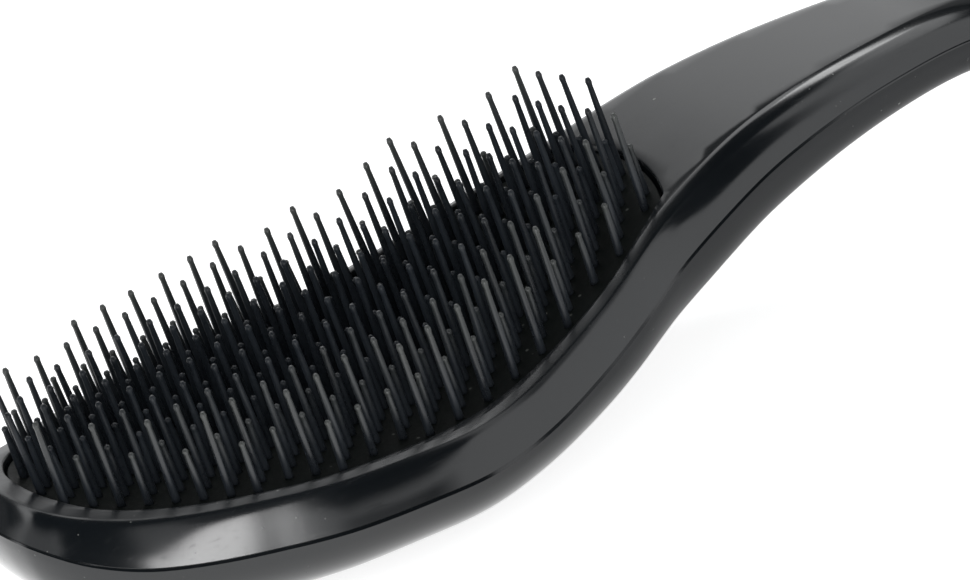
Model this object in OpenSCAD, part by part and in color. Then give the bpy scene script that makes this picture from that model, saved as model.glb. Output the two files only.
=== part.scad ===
// Detangling brush: a hollow two-part plastic body with a flexible pad of
// long and short teeth held in an opening of its front half.
// The tip points to -X, the handle to +X and the teeth stand up from +Z.
// The brush lies on its back, so Z = 0 is the surface that it rests on.

/* [Overall] */
// Length from the tip to the end of the handle
body_len = 220; // [190:1:260]
// Widest part of the head
head_w = 68; // [64:1:80]
// Highest place of the face above the table, at the top of the handle's arch
rise_h = 35; // [32:0.5:38]
// Deepest part of the body, face to back
body_d = 16.6; // [15.6:0.2:20]

/* [Shell] */
// Wall thickness of both shells
wall = 2.2; // [1.8:0.1:3]
// Width of the rounded shoulder beside the handle's face
shoulder_w = 5; // [4:0.2:5.2]
// Thickness of the face panel
face_t = 2.4; // [2:0.1:3.2]
// Height of the locating tongue at the seam
tongue_h = 1.2; // [0.8:0.1:2]
// Clearance around the locating tongue
tongue_gap = 0.15; // [0.1:0.01:0.3]
// Depth of the groove that marks the seam
seam_v = 0.25; // [0.15:0.05:0.4]

/* [Pad] */
// Length of the tooth pad
pad_len = 97; // [90:0.5:98]
// Width of the shoulder and the lip beside the widest part of the pad
rim_w = 5; // [4.8:0.05:7]
// Least width of the rim between the pad and the side of the body
rim_least = 4.6; // [4.4:0.05:6]
// Distance from the tip of the body to the pad
pad_start = 7.6; // [7.4:0.2:9]
// Bulge of the pad's end towards the handle
pad_bulge = 3.4; // [1:0.1:4]
// How far the pad lies below the face
pad_recess = 0.8; // [0.4:0.1:1.2]
// Clearance between the pad and the rim of its opening
pad_gap = 0.3; // [0.2:0.05:0.6]
// Clearance under and over the pad's carrier
seat_gap = 0.15; // [0.1:0.05:0.3]
// Thickness of the carrier plate
carrier_t = 2; // [1.5:0.1:3]
// Overlap of the carrier behind the rim
carrier_lap = 1.2; // [0.8:0.1:1.5]

/* [Teeth] */
// Spacing of the long teeth along and across their rows
pitch = 5.25; // [5.1:0.05:8]
// Turn of the rows away from the brush's axis
row_turn = 10; // [0:1:45]
// Length of the longest teeth, past the middle of the pad
long_len = 16; // [10:0.1:20]
// Length of the short teeth
short_len = 8; // [5:0.5:12]
// Width of a tooth at its root, corner to corner
root_w = 1.5; // [1.2:0.1:2.2]
// Width of a tooth at its tip, corner to corner
tip_w = 1.1; // [0.8:0.1:1.6]
// Lean of the teeth towards the tip
lean = 7.5; // [0:0.5:10]
// Outward lean of the teeth at the pad's edge
splay = 4; // [0:0.5:6]
// Bare border between the teeth and the pad's edge
border = 1.6; // [1.5:0.1:6]

/* [Posts] */
// Diameter of the posts under the carrier
post_d = 6; // [4:0.5:8]
// Distance of the first pair of posts from the tip
post_start = 25; // [22:1:30]
// Distance between the pairs of posts
post_step = 26; // [20:1:30]
// Distance between the posts of a pair
post_span = 26; // [20:1:30]

/* [Hidden] */
// Places along the outline of the body and of the pad
outline_n = 60;
pad_n = 44;
bulge_n = 5;
post_pairs = 3;
post_fn = 32;
// Overrun of cuts
over = 1;
// Depth of a tooth's root in the pad
root_in = 0.5;
// Share of a tooth's length that its lean takes from the slope of the pad
follow_share = 0.02;
// Share of the depth that lies above the seam
seam_share = 0.4;
// Share of the shoulder's width that the rim leaves solid
rim_share = 0.5;
// Share of the wall that the inside of the back's bend is moved in and up by
bend_share = 0.7;
// Shift of the rows along the brush, as a share of the pitch
row_shift_share = 0.19;
// Height of the back that is flattened where it rests
rest_flat = 0.4;
// Step for finding the lowest place, and where the rounded end begins, as shares of the length
search_share = 0.005;
round_end_share = 0.975;
// Step for measuring slopes, as a share of the length
slope_share = 0.002;
// Half width of the body along its length: place, width
width_shares = [
  [0, 0], [0.003, 0.265], [0.009, 0.395], [0.023, 0.505], [0.041, 0.585], [0.064, 0.668],
  [0.091, 0.75], [0.132, 0.853], [0.191, 0.968], [0.264, 1], [0.327, 0.929], [0.373, 0.85],
  [0.418, 0.756], [0.464, 0.647], [0.518, 0.571], [0.582, 0.5], [0.664, 0.424], [0.745, 0.356],
  [0.827, 0.335], [0.909, 0.332], [0.959, 0.297], [0.989, 0.194], [1, 0]];
// Half width that the rounding of the back follows
spread_shares = [
  [0, 0.412], [0.055, 0.618], [0.136, 0.853], [0.227, 0.971], [0.314, 0.912], [0.409, 0.706],
  [0.518, 0.5], [0.682, 0.382], [1, 0.309]];
// Height of the face above the table: place, share of rise_h
face_shares = [
  [0, 0.683], [0.036, 0.566], [0.073, 0.5], [0.145, 0.463], [0.227, 0.449], [0.305, 0.457],
  [0.386, 0.594], [0.473, 0.8], [0.555, 0.943], [0.655, 0.997], [0.745, 0.966], [0.827, 0.789],
  [0.914, 0.517], [1, 0.16]];
// Depth of the body under the face: place, share of body_d
depth_shares = [
  [0, 0.843], [0.036, 0.946], [0.073, 0.982], [0.145, 1], [0.227, 0.964], [0.305, 0.952],
  [0.386, 0.995], [0.473, 1], [0.555, 0.885], [0.655, 0.715], [0.745, 0.63], [0.827, 0.58],
  [0.914, 0.565], [1, 0.55]];
// Half width of the pad along its length
pad_shares = [
  [0, 0], [0.005, 0.16], [0.016, 0.27], [0.033, 0.38], [0.055, 0.475], [0.097, 0.59],
  [0.148, 0.705], [0.229, 0.835], [0.336, 0.955], [0.439, 1], [0.488, 0.998], [0.579, 0.958],
  [0.655, 0.914], [0.735, 0.86], [0.826, 0.776], [0.869, 0.722], [0.931, 0.62], [1, 0.5]];
// Length of the long teeth along the pad: place, share of long_len
tooth_shares = [
  [0, 0.81], [0.2, 0.83], [0.4, 0.87], [0.6, 0.96], [0.8, 1], [1, 0.97]];
// Section of the shoulder: share of its width in, shares of the drop at the handle and the head
shoulder_shares = [
  [1, 0, 0], [0.85, 0.033, 0.026], [0.725, 0.075, 0.05], [0.625, 0.117, 0.075],
  [0.54, 0.166, 0.128], [0.44, 0.245, 0.241], [0.3, 0.389, 0.444], [0.15, 0.62, 0.693],
  [0, 0.97, 0.97]];
// How far the section is that of the head: place, share
lip_shares = [
  [0, 1], [0.4, 1], [0.47, 0.5], [0.54, 0], [1, 0]];
// Width of the shoulder along the body: place, share of shoulder_w
round_shares = [
  [0, 1.3], [0.04, 1.3], [0.07, 1.1], [0.1, 0.92], [0.14, 0.82], [0.2, 0.8], [0.4, 0.8],
  [0.47, 0.9], [0.54, 1], [1, 1]];
// Section of the back: share of the half width in, share of the drop under the seam
back_shares = [
  [0, 0.04], [0.008, 0.2], [0.04, 0.42], [0.1, 0.64], [0.19, 0.83], [0.31, 0.95], [0.46, 1]];

// Half of the wall makes the tongue
tongue_t = wall / 2;
pad_w = head_w - 2 * rim_w;
rim_in = rim_share * shoulder_w;
carrier_top = face_t + seat_gap;

// Smooth curve through a table of [place, value] pairs
function table_slope(t, i) =
  let (n = len(t) - 1, a = max(i - 1, 0), b = min(i + 1, n))
  (t[b][1] - t[a][1]) / (t[b][0] - t[a][0]);
function ease(a, b, ma, mb, h, u) =
  (2 * pow(u, 3) - 3 * pow(u, 2) + 1) * a + (pow(u, 3) - 2 * pow(u, 2) + u) * h * ma
  + (3 * pow(u, 2) - 2 * pow(u, 3)) * b + (pow(u, 3) - pow(u, 2)) * h * mb;
function curve(t, s) =
  let (
    n = len(t) - 1,
    q = min(max(s, t[0][0]), t[n][0]),
    i = min(max([for (k = [0:n - 1]) t[k][0] <= q ? k : 0]), n - 1),
    h = t[i + 1][0] - t[i][0])
  ease(t[i][1], t[i + 1][1], table_slope(t, i), table_slope(t, i + 1), h, (q - t[i][0]) / h);
function squares(t) = [for (r = t) [r[0], r[1] * r[1]]];

// Sizes of the body at a distance x from its tip
width_squares = squares(width_shares);
pad_squares = squares(pad_shares);
function half_w(x) = head_w / 2 * sqrt(max(curve(width_squares, x / body_len), 0));
function pad_half_w(x) =
  let (s = (x - pad_start) / pad_len)
  min(pad_w / 2 * sqrt(max(curve(pad_squares, s), 0)), half_w(x) - rim_least);
function spread(x) = head_w / 2 * curve(spread_shares, x / body_len);
function depth(x) = body_d * curve(depth_shares, x / body_len);
function round_at(x) = shoulder_w * curve(round_shares, x / body_len);
function lip_at(x) = curve(lip_shares, x / body_len);
function face_raw(x) = rise_h * curve(face_shares, x / body_len);
// Everything is set down so that the lowest part of the back is a small flat at zero
low_raw = rest_flat + min([for (s = [0:search_share:round_end_share])
  face_raw(s * body_len) - depth(s * body_len)]);
function face_z(x) = face_raw(x) - low_raw;
function slope(x) =
  let (d = slope_share * body_len)
  atan2(face_z(x + d) - face_z(x - d), 2 * d);

// Top of a post at x, under the lowest place of the carrier over it
function post_top(x) =
  face_z(x) - carrier_top - carrier_t - seat_gap - post_d / 2 * abs(tan(slope(x)));

// One half of an outline, from end to end, as [x, half width]
body_half = [for (i = [0:outline_n])
  let (x = body_len * (1 - cos(180 * i / outline_n)) / 2)
  [x, i == 0 || i == outline_n ? 0 : half_w(x)]];
pad_end_w = pad_half_w(pad_start + pad_len);
pad_half = concat(
  [for (i = [0:pad_n])
    let (x = pad_start + (1 - cos(90 * i / pad_n)) * pad_len)
    [x, i == 0 ? 0 : pad_half_w(x)]],
  [for (i = [1:bulge_n])
    let (q = 1 - i / bulge_n)
    [pad_start + pad_len + pad_bulge * (1 - q * q), pad_end_w * q]]);
// Direction into the outline at each of its places
function inward(half, i) =
  let (
    n = len(half) - 1,
    a = i == 0 ? [half[1][0], -half[1][1]] : half[i - 1],
    b = i == n ? [half[n - 1][0], -half[n - 1][1]] : half[i + 1],
    t = b - a)
  [t[1], -t[0]] / norm(t);
function inset(half, i, d) = half[i] + d * inward(half, i);

// A closed ring of points: the near side from the tip on, then the far side back.
// The places are measured from the middle of the body's length.
function ring(pts, zs) =
  let (n = len(pts) - 1)
  concat(
    [for (i = [0:n]) [pts[i][0] - body_len / 2, -pts[i][1], zs[i]]],
    [for (i = [n - 1:-1:1]) [pts[i][0] - body_len / 2, pts[i][1], zs[i]]]);
// Solid between rings that follow each other, closed across at both ends
module skin(rings) {
  m = len(rings) - 1;
  c = len(rings[0]);
  n = c / 2;
  sides = [for (k = [0:m - 1]) for (i = [0:c - 1])
    let (a = k * c + i, b = k * c + (i + 1) % c)
    each [[a, b, b + c], [a, b + c, a + c]]];
  top = [for (i = [0:n - 1])
    let (e = (c - i) % c, f = c - i - 1)
    each i == 0 ? [[0, f, 1]] : i == n - 1 ? [[i, e, n]] : [[i, e, f], [i, f, i + 1]]];
  base = m * c;
  bottom = [for (t = top) [base + t[0], base + t[2], base + t[1]]];
  polyhedron([for (r = rings) each r], concat(sides, top, bottom));
}

// A ring of the front half: inset and drop below the face
function face_ring(d, drop) =
  let (p = [for (i = [0:outline_n]) inset(body_half, i, d)])
  ring(p, [for (q = p) face_z(q[0]) - drop]);
// A ring whose drop is a share of the way to the seam, less a fixed lift
function seam_ring(d, share, lift) =
  let (p = [for (i = [0:outline_n]) inset(body_half, i, d)])
  ring(p, [for (q = p) face_z(q[0]) - share * seam_share * depth(q[0]) + lift]);
// A ring of the shoulder, row k of its section
function shoulder_ring(k) =
  let (
    row = shoulder_shares[k],
    p = [for (i = [0:outline_n])
      inset(body_half, i, row[0] * round_at(body_half[i][0]))])
  ring(p, [for (q = p)
    face_z(q[0]) - (row[1] + (row[2] - row[1]) * lip_at(q[0])) * seam_share * depth(q[0])]);
// A ring of the back: share of the spread in, share of the drop under the seam
function back_ring(in_share, share, d, lift) =
  let (p = [for (i = [0:outline_n]) inset(body_half, i, d + in_share * spread(body_half[i][0]))])
  ring(p, [for (q = p)
    lift + max(face_z(q[0]) - depth(q[0]) * (seam_share + share * (1 - seam_share)), 0)]);
// A ring of the pad or its opening
function pad_ring(d, drop) =
  let (p = [for (i = [0:len(pad_half) - 1]) inset(pad_half, i, d)])
  ring(p, [for (q = p) face_z(q[0]) - drop]);

// Rear half of the body: a bowl with a tongue along its rim and posts for the carrier
module back_shell() {
  last = len(back_shares) - 1;
  color([0.05, 0.05, 0.06]) union() {
    skin(concat(
      [back_ring(back_shares[last][0], back_shares[last][1], wall, wall)],
      [back_ring(back_shares[3][0], back_shares[3][1], bend_share * wall, bend_share * wall)],
      [back_ring(back_shares[1][0], back_shares[1][1], wall, 0)],
      [seam_ring(wall, 1, tongue_h)],
      [seam_ring(wall - tongue_t, 1, tongue_h)],
      [seam_ring(wall - tongue_t, 1, 0)],
      [seam_ring(seam_v, 1, 0)],
      [for (r = back_shares) back_ring(r[0], r[1], 0, 0)]));
    for (k = [0:post_pairs - 1]) for (side = [-1, 1]) {
      x = post_start + k * post_step;
      foot = max(face_z(x) - depth(x), 0) + wall / 2;
      translate([x - body_len / 2, side * post_span / 2, foot])
        cylinder(d = post_d, h = post_top(x) - foot, $fn = post_fn);
    }
  }
}

// Front half of the body: the face, its shoulder and the rim round the pad's opening
module front_frame() {
  color([0.06, 0.06, 0.07]) difference() {
    skin(concat(
      [for (k = [0:len(shoulder_shares) - 1]) shoulder_ring(k)],
      [seam_ring(seam_v, 1, 0)],
      [seam_ring(wall - tongue_t - tongue_gap, 1, 0)],
      [seam_ring(wall - tongue_t - tongue_gap, 1, tongue_h + tongue_gap)],
      [seam_ring(wall, 1, tongue_h + tongue_gap)],
      [seam_ring(wall, 0.5, 0)],
      [face_ring(rim_in, face_t)]));
    translate([0, 0, -over]) linear_extrude(rise_h + body_d + over)
      polygon([for (p = pad_ring(0, 0)) [p[0], p[1]]]);
  }
}

// Carrier plate under the tooth pad, held behind the rim of the opening
module pad_carrier() {
  color([0.09, 0.09, 0.1])
    skin([pad_ring(-carrier_lap, carrier_top), pad_ring(-carrier_lap, carrier_top + carrier_t)]);
}

// Four corners of a tooth's section, w wide across, square to its own direction
function corners(p, w, v, turn) =
  [for (k = [0:3]) p + w / 2 * (cos(90 * k + turn) * v + sin(90 * k + turn) * [0, 1, 0])];
// A tooth from its tip to its root, four-sided
function tooth(x, y, h, turn) =
  let (
    a = -lean - follow_share * slope(x),
    b = splay * y / (pad_w / 2),
    u = [sin(a) * cos(b), sin(b), cos(a) * cos(b)],
    v = [cos(a), 0, -sin(a)],
    p = [x - body_len / 2, y, face_z(x) - pad_recess])
  concat(corners(p + h * u, tip_w, v, turn), corners(p - root_in * u, root_w, v, turn));
tooth_faces = [
  [0, 2, 1], [0, 3, 2], [4, 5, 6], [4, 6, 7],
  [0, 1, 5], [0, 5, 4], [1, 2, 6], [1, 6, 5], [2, 3, 7], [2, 7, 6], [3, 0, 4], [3, 4, 7]];
// Half width left for teeth at x, with a bare border
function field_w(x) = pad_half_w(x) - border;
// Where the bulged end of the pad lies, at y across
function end_at(y) = pad_start + pad_len + pad_bulge * (1 - pow(y / pad_end_w, 2));
// Places of the teeth: rows turned from the axis, the short teeth between the long ones
reach = ceil(pad_len / pitch);
function places(shift) = [
  for (i = [-reach:reach]) for (j = [-reach:reach])
    let (
      u = (i + shift + row_shift_share) * pitch,
      v = (j + shift) * pitch,
      x = pad_start + pad_len / 2 + u * cos(row_turn) - v * sin(row_turn),
      y = u * sin(row_turn) + v * cos(row_turn),
      ends = min(x - pad_start, end_at(y) - x))
    if (ends > border && abs(y) < field_w(x)) [x, y]];
function long_at(x) = long_len * curve(tooth_shares, (x - pad_start) / pad_len);
long_places = places(0);
short_places = places(0.5);
echo(long_teeth = len(long_places), short_teeth = len(short_places));

// Flexible pad with its teeth
module tooth_pad() {
  color([0.03, 0.03, 0.04]) union() {
    skin([pad_ring(pad_gap, pad_recess), pad_ring(pad_gap, face_t)]);
    for (p = long_places) polyhedron(tooth(p[0], p[1], long_at(p[0]), row_turn), tooth_faces);
    for (p = short_places) polyhedron(tooth(p[0], p[1], short_len, row_turn), tooth_faces);
  }
}

back_shell();
front_frame();
pad_carrier();
tooth_pad();
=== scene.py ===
"""Detangling brush: detailed shells, tooth pad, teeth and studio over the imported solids."""

import math

import bmesh
import bpy
import numpy as np
from bpy.props import FloatProperty, FloatVectorProperty, IntProperty, PointerProperty
from mathutils import Matrix, Vector
from mathutils.geometry import delaunay_2d_cdt


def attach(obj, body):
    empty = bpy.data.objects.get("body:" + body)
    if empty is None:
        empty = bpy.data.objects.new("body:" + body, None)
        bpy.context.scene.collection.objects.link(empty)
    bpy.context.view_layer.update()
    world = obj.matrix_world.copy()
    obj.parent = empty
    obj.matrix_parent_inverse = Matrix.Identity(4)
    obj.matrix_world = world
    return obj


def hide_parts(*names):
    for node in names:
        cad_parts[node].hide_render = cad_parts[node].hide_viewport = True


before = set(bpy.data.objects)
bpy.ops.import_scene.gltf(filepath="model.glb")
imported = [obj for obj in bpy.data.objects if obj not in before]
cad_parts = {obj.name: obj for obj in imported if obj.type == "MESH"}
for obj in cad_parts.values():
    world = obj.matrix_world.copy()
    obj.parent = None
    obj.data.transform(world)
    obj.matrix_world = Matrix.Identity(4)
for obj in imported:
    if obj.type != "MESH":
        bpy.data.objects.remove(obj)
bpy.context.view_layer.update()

bl_info = {
    "name": "Detangling brush",
    "version": (1, 0, 0),
    "blender": (4, 5, 0),
    "location": "View3D > Sidebar > Brush",
    "description": "Builds the shells, the tooth pad and the teeth of a detangling brush",
    "category": "Add Mesh",
}

MM = 0.001

# Shares of the length: steps for the lowest place, where the rounded end begins, steps for slopes
SEARCH_STEP = 0.005
SEARCH_END = 0.9751
SLOPE_STEP = 0.002
# Share of the wall that the inside of the back's bend is moved in and up by
BEND_SHARE = 0.7
# Drop under the face at which the lip's finish begins to fade, and at which it is gone
LIP_FADE = (0.48 * MM, 1.28 * MM)
# Spacing of the places inside a cap, and their least distance from its edges as a share of it
CAP_STEP = 2 * MM
CAP_CLEAR = 0.45
# Places closer than this count as one: in millimetres in a cap, in metres in a mesh
CAP_TOUCH = 1e-5
MESH_TOUCH = 1e-7
# Edges that turn by more than this stay sharp
SHARP_ANGLE = math.radians(30)

# Shapes along the brush, as in the part's source: place, share
WIDTH = [
    (0, 0), (0.003, 0.265), (0.009, 0.395), (0.023, 0.505), (0.041, 0.585), (0.064, 0.668),
    (0.091, 0.75), (0.132, 0.853), (0.191, 0.968), (0.264, 1), (0.327, 0.929), (0.373, 0.85),
    (0.418, 0.756), (0.464, 0.647), (0.518, 0.571), (0.582, 0.5), (0.664, 0.424), (0.745, 0.356),
    (0.827, 0.335), (0.909, 0.332), (0.959, 0.297), (0.989, 0.194), (1, 0)]
SPREAD = [
    (0, 0.412), (0.055, 0.618), (0.136, 0.853), (0.227, 0.971), (0.314, 0.912), (0.409, 0.706),
    (0.518, 0.5), (0.682, 0.382), (1, 0.309)]
FACE = [
    (0, 0.683), (0.036, 0.566), (0.073, 0.5), (0.145, 0.463), (0.227, 0.449), (0.305, 0.457),
    (0.386, 0.594), (0.473, 0.8), (0.555, 0.943), (0.655, 0.997), (0.745, 0.966), (0.827, 0.789),
    (0.914, 0.517), (1, 0.16)]
DEPTH = [
    (0, 0.843), (0.036, 0.946), (0.073, 0.982), (0.145, 1), (0.227, 0.964), (0.305, 0.952),
    (0.386, 0.995), (0.473, 1), (0.555, 0.885), (0.655, 0.715), (0.745, 0.63), (0.827, 0.58),
    (0.914, 0.565), (1, 0.55)]
PAD = [
    (0, 0), (0.005, 0.16), (0.016, 0.27), (0.033, 0.38), (0.055, 0.475), (0.097, 0.59),
    (0.148, 0.705), (0.229, 0.835), (0.336, 0.955), (0.439, 1), (0.488, 0.998), (0.579, 0.958),
    (0.655, 0.914), (0.735, 0.86), (0.826, 0.776), (0.869, 0.722), (0.931, 0.62), (1, 0.5)]
TOOTH = [(0, 0.81), (0.2, 0.83), (0.4, 0.87), (0.6, 0.96), (0.8, 1), (1, 0.97)]
# Sections: share of the width in, share of the drop (for the shoulder, at the handle and the head)
SHOULDER = [
    (1, 0, 0), (0.85, 0.033, 0.026), (0.725, 0.075, 0.05), (0.625, 0.117, 0.075),
    (0.54, 0.166, 0.128), (0.44, 0.245, 0.241), (0.3, 0.389, 0.444), (0.15, 0.62, 0.693),
    (0, 0.97, 0.97)]
LIP = [(0, 1), (0.4, 1), (0.47, 0.5), (0.54, 0), (1, 0)]
ROUND = [
    (0, 1.3), (0.04, 1.3), (0.07, 1.1), (0.1, 0.92), (0.14, 0.82), (0.2, 0.8), (0.4, 0.8),
    (0.47, 0.9), (0.54, 1), (0.92, 1), (0.97, 0.85), (1, 0.85)]
BACK = [(0, 0.04), (0.008, 0.2), (0.04, 0.42), (0.1, 0.64), (0.19, 0.83), (0.31, 0.95), (0.46, 1)]
# A tooth from its root in the pad to its tip: share of the length, of the root's width, of the tip's
TOOTH_HEIGHTS = [-0.03, 0.05, 0.42, 0.8, 0.925, 0.965, 1.0]
TOOTH_STEMS = [1.0, 0.96, 0.84, 0.69, 0.62, 0.0, 0.0]
TOOTH_TIPS = [0.0, 0.0, 0.0, 0.0, 0.0, 1.0, 0.62]
# Brightness of the room behind the brush, by height of direction: a pale wall, a gap, a lamp
BEHIND = [
    (0.0, 1.15), (0.57, 1.15), (0.6, 0.1), (0.73, 0.1), (0.75, 2.6), (0.85, 2.6), (0.88, 0.04), (1.0, 0.03)]
# Spans of directions in the room: from, to, and what they give at both ends
BEHIND_SIDE = (0.955, 0.98, 0.2, 1.0)
BEHIND_LAMP = (0.6, 0.65)
BEHIND_START = (0.05, 0.3)
WALL = (-0.03, 0.03, 1.6, 0.04)
WALL_TOP_LEFT = (0.78, 0.86, 0.85, 0.45)
WALL_TOP_RIGHT = (0.86, 0.98, 0.0, -0.2)
WALL_LEFT = (0.6, 0.9, 1.0, 0.6)
GAP = (0.955, 0.985, 1.0, 0.05)
GAP_TOP = (0.18, 0.22)
# Soft boxes: a place on the brush in millimetres, the azimuth and elevation from there in degrees,
# and the distance, width and height in metres
BOXES = {
    "Front": ((-75, -30, 10), -159, 14.5, 0.8, 0.13, 0.38),
    "Top": ((30, 0, 35), 50, 55, 0.6, 0.14, 0.1)}
# The floor: half its width, its height, its tone, its glow, and the glow in reflections by place
FLOOR_HALF = 2
FLOOR_Z = -0.0002
FLOOR_TONE = 0.8
FLOOR_GLOW = 0.76
FLOOR_CARD = (-0.07, -0.01, 1.7, 0.3)
SENSOR = 36
CLIP = (0.05, 20)
# Colour inputs of a mix node
MIX_COLOURS = (6, 7)


def length(text, value, low, high):
    return FloatProperty(name=text, description=text, default=value * MM, min=low * MM,
                         max=high * MM, subtype="DISTANCE", unit="LENGTH", precision=5)


def share(text, value, low=0.0, high=1.0):
    return FloatProperty(name=text, description=text, default=value, min=low, max=high,
                         subtype="FACTOR")


def turn(text, value, low=-180, high=180):
    return FloatProperty(name=text, description=text, default=math.radians(value),
                         min=math.radians(low), max=math.radians(high), subtype="ANGLE",
                         unit="ROTATION")


def colour(text, value):
    return FloatVectorProperty(name=text, description=text, default=value, min=0, max=1,
                               size=3, subtype="COLOR")


class BrushBodySizes(bpy.types.PropertyGroup):
    """Sizes of the two shells"""
    body_len: length("Length from the tip to the end of the handle", 220, 180, 260)
    head_w: length("Widest part of the head", 68, 60, 80)
    rise_h: length("Highest place of the face above the table", 35, 30, 40)
    body_d: length("Deepest part of the body", 16.6, 15, 20)
    wall: length("Wall thickness of both shells", 2.2, 1.8, 3)
    shoulder_w: length("Width of the rounded shoulder beside the handle's face", 5, 4, 5.2)
    face_t: length("Thickness of the face panel", 2.4, 2, 3.2)
    tongue_h: length("Height of the locating tongue at the seam", 1.2, 0.8, 2)
    tongue_gap: length("Clearance around the locating tongue", 0.15, 0.1, 0.3)
    seam_v: length("Depth of the groove at the seam", 0.25, 0.1, 0.4)
    rim_round: length("Rounding of the rim round the pad", 0.25, 0.1, 0.3)
    seam_share: share("Share of the depth that lies above the seam", 0.4)
    rim_share: share("Share of the shoulder's width that the rim leaves solid", 0.5)
    rest_flat: length("Height of the back that is flattened where it rests", 0.4, 0, 1)
    outline_n: IntProperty(name="Places along the outline", description="Places along half of the outline",
                           default=220, min=60, max=400)


class BrushPadSizes(bpy.types.PropertyGroup):
    """Sizes of the tooth pad"""
    pad_len: length("Length of the tooth pad", 97, 90, 98)
    rim_w: length("Width of the shoulder and the lip beside the widest part of the pad", 5, 4.8, 7)
    rim_least: length("Least width of the rim between the pad and the side of the body", 4.6, 4.4, 6)
    pad_start: length("Distance from the tip of the body to the pad", 7.6, 7.4, 9)
    pad_bulge: length("Bulge of the pad's end towards the handle", 3.4, 1, 4)
    pad_recess: length("How far the pad lies below the face", 0.8, 0.4, 1.2)
    pad_gap: length("Clearance between the pad and its opening", 0.3, 0.2, 0.6)
    pad_round: length("Rounding of the pad's edge", 0.3, 0.1, 0.5)
    pad_n: IntProperty(name="Places along the pad", description="Places along half of the pad's outline",
                       default=130, min=40, max=300)
    bulge_n: IntProperty(name="Places across the pad's end", description="Places across half of the end",
                         default=24, min=5, max=60)


class BrushTeethSizes(bpy.types.PropertyGroup):
    """Sizes of the teeth"""
    pitch: length("Spacing of the long teeth", 5.25, 5, 8)
    row_turn: turn("Turn of the rows away from the brush's axis", 10, 0, 45)
    row_shift: share("Shift of the rows, as a share of the spacing", 0.19)
    long_len: length("Length of the longest teeth", 16, 10, 20)
    short_len: length("Length of the short teeth", 8, 5, 12)
    root_w: length("Width of a tooth at its root", 1.32, 0.8, 1.6)
    tip_w: length("Width of a tooth's rounded tip", 0.98, 0.6, 1.2)
    border: length("Bare border between the teeth and the pad's edge", 1.6, 1, 4)
    lean: turn("Lean of the teeth towards the tip", 7.5, 0, 12)
    splay: turn("Outward lean of the teeth at the pad's edge", 4, 0, 6)
    follow: share("Share of the lean that the slope of the pad adds", 0.02)
    wander: turn("Uneven lean from tooth to tooth", 1.2, 0, 3)
    sides: IntProperty(name="Sides of a tooth", description="Sides of a tooth", default=8, min=6, max=12)
    seed: IntProperty(name="Seed of the uneven lean", description="Seed of the uneven lean", default=4)


class BrushFinish(bpy.types.PropertyGroup):
    """Colours and gloss of the mouldings"""
    shell: colour("Polished shell", (0.0045, 0.006, 0.0075))
    pad: colour("Flexible pad", (0.0028, 0.0042, 0.0038))
    teeth: colour("Teeth", (0.014, 0.017, 0.021))
    # Painted backlight glow: a paler colour for the upper parts of the teeth near the rim, where light from
    # behind would shine through them
    painted_tip_glow: colour("Colour of the upper part of the teeth", (0.05, 0.054, 0.052))
    carrier: colour("Inner carrier", (0.03, 0.03, 0.032))
    dust: colour("Dust specks", (0.3, 0.31, 0.29))
    shell_rough: share("Roughness of the shell", 0.13)
    lip_rough: share("Roughness added on the lip beside the pad", 0.15)
    pad_rough: share("Roughness of the pad", 0.6)
    teeth_rough: share("Roughness of the teeth", 0.3)


class BrushStudio(bpy.types.PropertyGroup):
    """Camera and light"""
    azimuth: turn("Camera azimuth", -25.43)
    elevation: turn("Camera elevation", 22.97)
    roll: turn("Camera roll", 12.92)
    distance: length("Distance of the camera", 852.6, 300, 3000)
    aim: FloatVectorProperty(name="Aim", description="Point that the camera looks at",
                             default=(-0.02094, 0.01538, 0.01155), subtype="XYZ", unit="LENGTH")
    lens: FloatProperty(name="Lens", description="Focal length of the camera in millimetres",
                        default=222.7, min=50, max=400, subtype="DISTANCE_CAMERA")
    key: FloatProperty(name="Front light", description="Power of the tall soft box beside the camera",
                       default=1.9, min=0, max=50, unit="POWER")
    top: FloatProperty(name="Top light", description="Power of the soft box above the handle",
                       default=0.25, min=0, max=50, unit="POWER")


# --- shape of the body ---------------------------------------------------------------------

def curve(table, places):
    """Smooth curve through a table of (place, value) rows."""
    t = np.array(table, float)
    last = len(t) - 1
    slopes = np.array([(t[min(i + 1, last), 1] - t[max(i - 1, 0), 1])
                       / (t[min(i + 1, last), 0] - t[max(i - 1, 0), 0]) for i in range(last + 1)])
    s = np.clip(np.asarray(places, float), t[0, 0], t[-1, 0])
    i = np.clip(np.searchsorted(t[:, 0], s, side="right") - 1, 0, last - 1)
    h = t[i + 1, 0] - t[i, 0]
    u = (s - t[i, 0]) / h
    return ((2 * u**3 - 3 * u**2 + 1) * t[i, 1] + (u**3 - 2 * u**2 + u) * h * slopes[i]
            + (3 * u**2 - 2 * u**3) * t[i + 1, 1] + (u**3 - u**2) * h * slopes[i + 1])


def quarter_round(radius, steps=4):
    """Places on a rounded edge: how far across and down from its corner."""
    turns = [math.pi / 2 * k / steps for k in range(steps + 1)]
    return [(radius * (1 - math.sin(a)), radius * (1 - math.cos(a))) for a in turns]


def squares(table):
    return [(p, v * v) for p, v in table]


def section(rows, steps):
    """A section's rows with more places between them, on a smooth curve."""
    places = np.arange(len(rows))
    fine = np.linspace(0, len(rows) - 1, (len(rows) - 1) * steps + 1)
    return list(zip(*(curve(list(zip(places, column)), fine) for column in zip(*rows))))


def inset(half, d):
    """Moves one half of an outline inwards, square to itself."""
    before = np.vstack([[half[1, 0], -half[1, 1]], half[:-1]])
    after = np.vstack([half[1:], [half[-2, 0], -half[-2, 1]]])
    along = after - before
    along /= np.linalg.norm(along, axis=1)[:, None]
    d = np.broadcast_to(d, len(half))
    return half + np.stack([along[:, 1], -along[:, 0]], axis=1) * d[:, None]


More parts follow.
